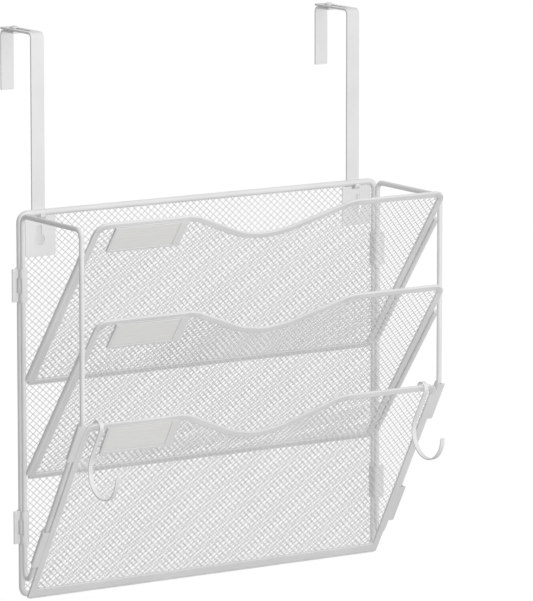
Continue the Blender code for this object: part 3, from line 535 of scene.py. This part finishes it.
def foldRim(name, halfWidth, slope, footBand):
    corners = rimCorners(halfWidth, slope)
    points = [Vector((x, y, 0)) for x, y, bend in corners]
    piece = startEdge(name, points[:2])
    pick("VERT", near(points[1]))
    for before, after in zip(points[1:], points[2:]):            # walk round the outline, corner by corner
        bpy.ops.mesh.extrude_vertices_move(TRANSFORM_OT_translate={"value": after - before})
    pick("VERT", lambda v: near(points[-1])(v) or near(points[0])(v))
    bpy.ops.mesh.edge_face_add()
    for i, corner in enumerate(corners):
        if corner[2]:
            bendCorner(points, i, corner[2], segments=12)
    bpy.ops.mesh.select_all(action="SELECT")
    bpy.ops.mesh.edge_face_add()
    bpy.ops.mesh.inset(thickness=rim["topBand"], depth=0, use_even_offset=True)
    # the inner face is still selected: drop it, then keep the outer loop as a group of its own
    bpy.ops.mesh.delete(type="ONLY_FACE")
    bpy.ops.mesh.select_all(action="INVERT")
    bpy.ops.object.vertex_group_assign_new()
    # set the side and foot bands to their own widths
    band = rim["topBand"]
    bendTop = slope - rim["topCorner"] + rim["bendReach"]
    for sign in (-1, 1):
        inner = sign * (halfWidth - band)
        pick("VERT", lambda v: abs(v.co.x - inner) < rim["bandReach"] and v.co.y < bendTop)
        bpy.ops.transform.translate(value=(sign * (band - rim["sideBand"]), 0, 0))
    pick("VERT", lambda v: abs(v.co.y - band) < rim["bandReach"])
    bpy.ops.transform.translate(value=(0, footBand - band, 0))
    bpy.ops.object.mode_set(mode="OBJECT")
    # full thickness along the fold, pressed thin where it grips the net
    applyModifier(piece, "SOLIDIFY", thickness=rim["thickness"], offset=0.0,
                  vertex_group=piece.vertex_groups[0].name, thickness_vertex_group=rim["pressed"])
    bpy.ops.object.mode_set(mode="EDIT")
    bpy.ops.mesh.select_all(action="SELECT")
    bpy.ops.mesh.normals_make_consistent(inside=False)
    pick("EDGE", lambda e: all(abs(abs(v.co.x) - halfWidth) < touching and v.co.y < touching for v in e.verts))
    bpy.ops.mesh.bevel(offset=rim["footCorner"], segments=6, affect="EDGES")
    full = rim["thickness"] / 2 - touching
    pick("EDGE", lambda e: all(abs(v.co.z) > full for v in e.verts) and e.verts[0].co.z * e.verts[1].co.z > 0)
    bpy.ops.mesh.bevel(offset=rim["foldRound"], segments=5, affect="EDGES")
    bpy.ops.object.mode_set(mode="OBJECT")
    return piece


# curls of the lower rim: hemmed tabs, in front of the side loops' sloping runs and turned back behind them
curl = {"sheet": 0.0006, "length": 0.0345, "starts": (0.1375, 0.0325), "rootInset": 0.0008, "front": 0.0005,
        "tip": 0.1665, "hemBend": 0.00045, "hemRun": 0.0010, "turnBend": 0.0005, "sideRun": 0.0031,
        "cornerBend": 0.0008, "backRun": 0.0030, "edgeRound": 0.00015}


def turnCurls(halfWidth):
    made = []
    root = halfWidth - curl["rootInset"]
    for sign in (-1, 1):
        for start in curl["starts"]:
            piece = bendStrip("curl", (0, 1, 0), curl["length"],
                              (sign * root, start + curl["length"] / 2, curl["front"]), (sign, 0, 0),
                              [curl["tip"] - root, (curl["hemBend"], sign * 180), curl["hemRun"],
                               (curl["turnBend"], -sign * 90), curl["sideRun"],
                               (curl["cornerBend"], sign * 90), curl["backRun"]])
            thicken(piece, curl["sheet"])
            softenEdges(piece, curl["edgeRound"])
            made.append(piece)
    return made


for level, (halfWidth, slope, lean, hinge) in pockets.items():
    piece = foldRim("foldedRim" + level.title(), halfWidth, slope, rim["footBands"][level])
    softenEdges(piece, rim["edgeRound"])
    if level == "lower":
        curls = turnCurls(halfWidth)
        selectOnly(piece)
        for one in curls:
            one.select_set(True)
        bpy.ops.object.join()
    standLeaning(piece, lean, hinge + Vector((0, 0, rim["raised"])))
    # the rim takes the darker coat with its painted shade
    dress(piece, shadedRimCoat, "pocket_rim_" + level, smooth=40)
print("stage: pocket rims")

# label holders: a folded plate with a window, open at the top, and a blank card slid in
label = {"left": -0.1418, "right": -0.0775, "topDrop": 0.0028, "height": 0.0255, "sheet": 0.0005, "corner": 0.0012,
         "leftLip": 0.0030, "rightLip": 0.0070, "footLip": 0.0022, "clear": 0.0003, "cardSheet": 0.0004,
         "cardMargin": 0.0009, "cardDrop": 0.0012, "cardCorner": 0.0008, "edgeRound": 0.00018}

for level, (halfWidth, slope, lean, hinge) in pockets.items():
    high = slope - label["topDrop"]
    low = high - label["height"]
    rear = rim["thickness"] / 2 + label["clear"]
    front = rear + 2 * (label["sheet"] + label["clear"]) + label["cardSheet"]
    roomRear, roomFront = rear + label["sheet"], front - label["sheet"]
    piece = block("labelHolder" + level.title(), (label["left"], low, rear), (label["right"], high, front))
    roundBlock(piece, "Z", label["corner"], segments=4, only=lambda place: place.y < low + touching)
    cut(piece, block("room", (label["left"] + label["sheet"], low + label["sheet"], roomRear),
                     (label["right"] - label["sheet"], high + overrun, roomFront)))
    cut(piece, block("window", (label["left"] + label["leftLip"], low + label["footLip"], roomFront - touching),
                     (label["right"] - label["rightLip"], high + overrun, front + overrun)))
    softenEdges(piece, label["edgeRound"])
    standLeaning(piece, lean, hinge)
    # the holder takes the rim's darker coat with its painted shade
    dress(piece, shadedRimCoat, "label_holder_" + level, smooth=40)
    margin = label["cardMargin"]
    cardRear = roomRear + label["clear"]
    piece = block("labelCard" + level.title(), (label["left"] + margin, low + margin, cardRear),
                  (label["right"] - margin, high - label["cardDrop"], cardRear + label["cardSheet"]))
    roundBlock(piece, "Z", label["cardCorner"], segments=3)
    standLeaning(piece, lean, hinge)
    dress(piece, paperBoard, "label_card_" + level)
print("stage: label holders and cards")

# keyhole plates in the top corners
plate = {"middleX": 0.14475, "width": 0.0265, "low": 0.2640, "high": 0.2949, "sheet": 0.0008, "front": -0.0014,
         "corner": 0.0015, "holeX": 0.1458, "boreRise": 0.0130, "bore": 0.0093, "slot": 0.0044, "slotTop": 0.0084,
         "notchX": 0.144, "notch": 0.0074, "notchFloor": 0.2929, "edgeRound": 0.0002}

for side, sign in sides:
    low, high = frameFoot + plate["low"], frameFoot + plate["high"]
    front = wireY + plate["front"]
    middle = sign * plate["middleX"]
    piece = block("keyholePlate" + side.title(), (middle - plate["width"] / 2, front, low),
                  (middle + plate["width"] / 2, front + plate["sheet"], high))
    roundBlock(piece, "Y", plate["corner"], segments=4)
    holeX, boreZ = sign * plate["holeX"], low + plate["boreRise"]
    drill(piece, plate["bore"] / 2, (holeX, front, boreZ), rotation=(math.pi / 2, 0, 0))
    slotHalf = plate["slot"] / 2
    top = high - plate["slotTop"] + slotHalf
    slotCutter = block("slot", (holeX - slotHalf, front - through, boreZ), (holeX + slotHalf, front + through, top))
    roundBlock(slotCutter, "Y", slotHalf * nearHalf, segments=10, only=lambda place: place.z > top - touching)
    cut(piece, slotCutter)
    notchX = sign * plate["notchX"]
    cut(piece, block("notch", (notchX - plate["notch"] / 2, front - through, frameFoot + plate["notchFloor"]),
                     (notchX + plate["notch"] / 2, front + through, high + overrun)))
    softenEdges(piece, plate["edgeRound"])
    dress(piece, sheetCoat, "keyhole_plate_" + side, smooth=40)
print("stage: keyhole plates")

# clips: a strap round both wires, pinched into a flange beside them
clip = {"sheet": 0.0006, "height": 0.0255, "flange": 0.0050, "bend": 0.0022, "reach": 0.0027, "clear": 0.0003,
        "front": -0.0070, "back": 0.0027, "upper": 0.2435, "lower": 0.0560, "edgeRound": 0.00018,
        "slotFrom": 0.0022, "slotTo": 0.0046, "slotHeight": 0.0115, "slotReach": 0.02}

wrap = clip["reach"] + clip["sheet"] / 2
strapFront, strapBack = clip["front"] - clip["sheet"] / 2, clip["back"] + clip["sheet"] / 2
pinch = (strapFront + strapBack) / 2
layer = (clip["sheet"] + clip["clear"]) / 2
rootBend = clip["sheet"] / 2 + clip["clear"]
sideRun = strapBack - clip["bend"] - (pinch + layer + rootBend)
for level, height in (("upper", clip["upper"]), ("lower", clip["lower"])):
    for side, sign in sides:
        middleZ = frameFoot + height
        flangeRun = clip["flange"] - rootBend
        wrapRun = 2 * (wrap - clip["bend"])
        corner, rootCorner = (clip["bend"], 90 * sign), (rootBend, -90 * sign)
        piece = bendStrip("strapClip" + level.title() + side.title(), (0, 0, 1), clip["height"],
                          (sign * (uprightX + wrap + clip["flange"]), wireY + pinch + layer, middleZ), (-sign, 0, 0),
                          [flangeRun, rootCorner, sideRun, corner, wrapRun, corner,
                           strapBack - strapFront - 2 * clip["bend"],
                           corner, wrapRun, corner, sideRun, rootCorner, flangeRun])
        thicken(piece, clip["sheet"])
        slotX = sorted((sign * (uprightX + clip["slotFrom"]), sign * (uprightX + clip["slotTo"])))
        cut(piece, block("slot", (slotX[0], wireY - clip["slotReach"], middleZ - clip["slotHeight"] / 2),
                         (slotX[1], wireY + clip["slotReach"], middleZ + clip["slotHeight"] / 2)))
        softenEdges(piece, clip["edgeRound"])
        dress(piece, sheetCoat, "clip_%s_%s" % (level, side), smooth=40)
print("stage: clips")

# hangers: an arm with a strap over the door, and a leg that slides in the strap's slot
hanger = {"x": 0.144, "width": 0.0113, "sheet": 0.0015, "armLow": -0.1602, "bend": 0.0035, "strapMiddle": 0.00255,
          "gap": 0.0435, "legLength": 0.0452, "travel": 0.022, "flange": 0.0200, "rivetBack": 0.012,
          "shank": 0.0034, "head": 0.0068, "dome": 0.0016, "tail": 0.0050, "tailBevel": 0.0006, "tailLow": 0.0002,
          "clear": 0.0003, "tongueWidth": 0.0040, "tongueBend": 0.0015, "tongueLip": 0.0014,
          "tongueWindow": 0.0063, "tongueShare": 0.99, "edgeRound": 0.0003, "cornerRound": 0.0006}

tongueMiddle = frameFoot + frameHeight - wires["frame"] - hanger["clear"] - hanger["sheet"] / 2
tongueRoot = tongueMiddle - hanger["tongueBend"]
tongueFront = wireY - wires["frame"] / 2 - hanger["clear"] - hanger["sheet"] / 2
leftBehind = hanger["gap"] + hanger["sheet"]
rivetY = leftBehind - hanger["rivetBack"]
slotRadius = hanger["shank"] / 2 + hanger["clear"]
for side, sign in sides:
    x = sign * hanger["x"]
    middleY = -hanger["sheet"] / 2
    bendStart = hanger["strapMiddle"] - hanger["bend"]
    piece = bendStrip("hangerArm" + side.title(), (1, 0, 0), hanger["width"],
                      (x, middleY, hanger["armLow"]), (0, 0, 1),
                      [bendStart - hanger["armLow"], (hanger["bend"], -90), leftBehind - middleY - hanger["bend"]])
    roundEnds(piece, [(x + d * hanger["width"] / 2, y, z) for d in (-1, 1)
                      for y, z in ((middleY, hanger["armLow"]), (leftBehind, hanger["strapMiddle"]))],
              hanger["cornerRound"])
    thicken(piece, hanger["sheet"])
    cut(piece, block("window", (x - hanger["tongueWidth"] / 2, middleY - through, tongueRoot),
                     (x + hanger["tongueWidth"] / 2, middleY + through, tongueRoot + hanger["tongueWindow"])))
    slotLow = hanger["strapMiddle"] - through
    slotCutter = block("slot", (x - slotRadius, rivetY - hanger["travel"] - slotRadius, slotLow),
                       (x + slotRadius, rivetY + slotRadius, slotLow + 2 * through))
    roundBlock(slotCutter, "Z", slotRadius * nearHalf, segments=10)
    cut(piece, slotCutter)
    tongue = bendStrip("tongue", (1, 0, 0), hanger["tongueWidth"], (x, middleY, tongueRoot - overrun), (0, 0, 1),
                       [overrun, (hanger["tongueBend"], 90), middleY - tongueFront - 2 * hanger["tongueBend"],
                        (hanger["tongueBend"], -90), hanger["tongueLip"]])
    thicken(tongue, hanger["sheet"] * hanger["tongueShare"])
    cut(piece, tongue, "UNION")
    softenEdges(piece, hanger["edgeRound"])
    dress(piece, sheetCoat, "hanger_arm_" + side, smooth=40)

    flangeMiddle = hanger["sheet"] / 2
    legMiddle = hanger["gap"] + hanger["sheet"] / 2
    flangeFront = leftBehind - hanger["flange"]
    piece = bendStrip("hangerLeg" + side.title(), (1, 0, 0), hanger["width"],
                      (x, legMiddle, -hanger["legLength"]), (0, 0, 1),
                      [flangeMiddle - hanger["bend"] + hanger["legLength"], (hanger["bend"], 90),
                       legMiddle - hanger["bend"] - flangeFront])
    roundEnds(piece, [(x + d * hanger["width"] / 2, y, z) for d in (-1, 1)
                      for y, z in ((legMiddle, -hanger["legLength"]), (flangeFront, flangeMiddle))],
              hanger["cornerRound"])
    thicken(piece, hanger["sheet"])
    drill(piece, slotRadius, (x, rivetY, 0))
    softenEdges(piece, hanger["edgeRound"])
    dress(piece, sheetCoat, "hanger_leg_" + side, body="hanger_leg_" + side, smooth=40)

    # the rivet: a domed head on the strap, a shank, and a tail spread inside the flange
    headLow = 2 * (hanger["sheet"] + hanger["clear"])
    headRadius, shankRadius = hanger["head"] / 2, hanger["shank"] / 2
    profile = [(0.0, headLow + hanger["dome"])]
    for degrees in (15, 30, 45, 60, 75, 86):
        a = math.radians(degrees)
        profile.append((math.sin(a) * headRadius, headLow + math.cos(a) * hanger["dome"]))
    profile += [(headRadius, headLow), (shankRadius, headLow), (shankRadius, hanger["sheet"] / 2),
                (hanger["tail"] / 2 - hanger["tailBevel"], hanger["tailLow"]), (0.0, hanger["tailLow"])]
    points = [Vector((x + r, rivetY, z)) for r, z in profile]
    piece = startEdge("rivet" + side.title(), points[:2])
    pick("VERT", near(points[1]))
    for before, after in zip(points[1:], points[2:]):
        bpy.ops.mesh.extrude_vertices_move(TRANSFORM_OT_translate={"value": after - before})
    bpy.ops.mesh.select_all(action="SELECT")
    bpy.ops.mesh.spin(steps=32, angle=2 * math.pi, center=(x, rivetY, 0), axis=(0, 0, 1))
    bpy.ops.mesh.select_all(action="SELECT")
    bpy.ops.mesh.remove_doubles(threshold=merging)
    bpy.ops.mesh.normals_make_consistent(inside=False)
    bpy.ops.object.mode_set(mode="OBJECT")
    dress(piece, sheetCoat, "hanger_rivet_" + side, body="hanger_leg_" + side, smooth=40)
print("stage: hangers")

# hooks: a strip curled over the lower rim, a shank, and a wide bend in front
hook = {"x": 0.148, "y": -0.093977, "z": frameFoot + 0.14626, "width": 0.0037, "sheet": 0.0010, "rimBend": 0.00485,
        "tailTurn": -10.0, "shank": 0.0263, "bend": 0.0197, "tipTurn": -174.0, "tip": 0.002, "endRound": 0.0012,
        "edgeRound": 0.0003}

tail = math.radians(hook["tailTurn"])
leanTurn = math.degrees(lowLean)
for side, sign in sides:
    start = Vector((sign * hook["x"], hook["y"] + hook["rimBend"] * math.cos(tail),
                    hook["z"] + hook["rimBend"] * math.sin(tail)))
    piece = bendStrip("sHook" + side.title(), (1, 0, 0), hook["width"], start, (0, -math.sin(tail), math.cos(tail)),
                      [(hook["rimBend"], 180 + leanTurn - hook["tailTurn"]), hook["shank"],
                       (hook["bend"], hook["tipTurn"] - leanTurn), hook["tip"]])
    ends = [v.co.copy() for v in piece.data.vertices if sum(v.index in e.vertices for e in piece.data.edges) == 2]
    roundEnds(piece, ends, hook["endRound"])
    thicken(piece, hook["sheet"])
    softenEdges(piece, hook["edgeRound"])
    dress(piece, sheetCoat, "s_hook_" + side, body="s_hook_" + side, smooth=40)
print("stage: hooks")
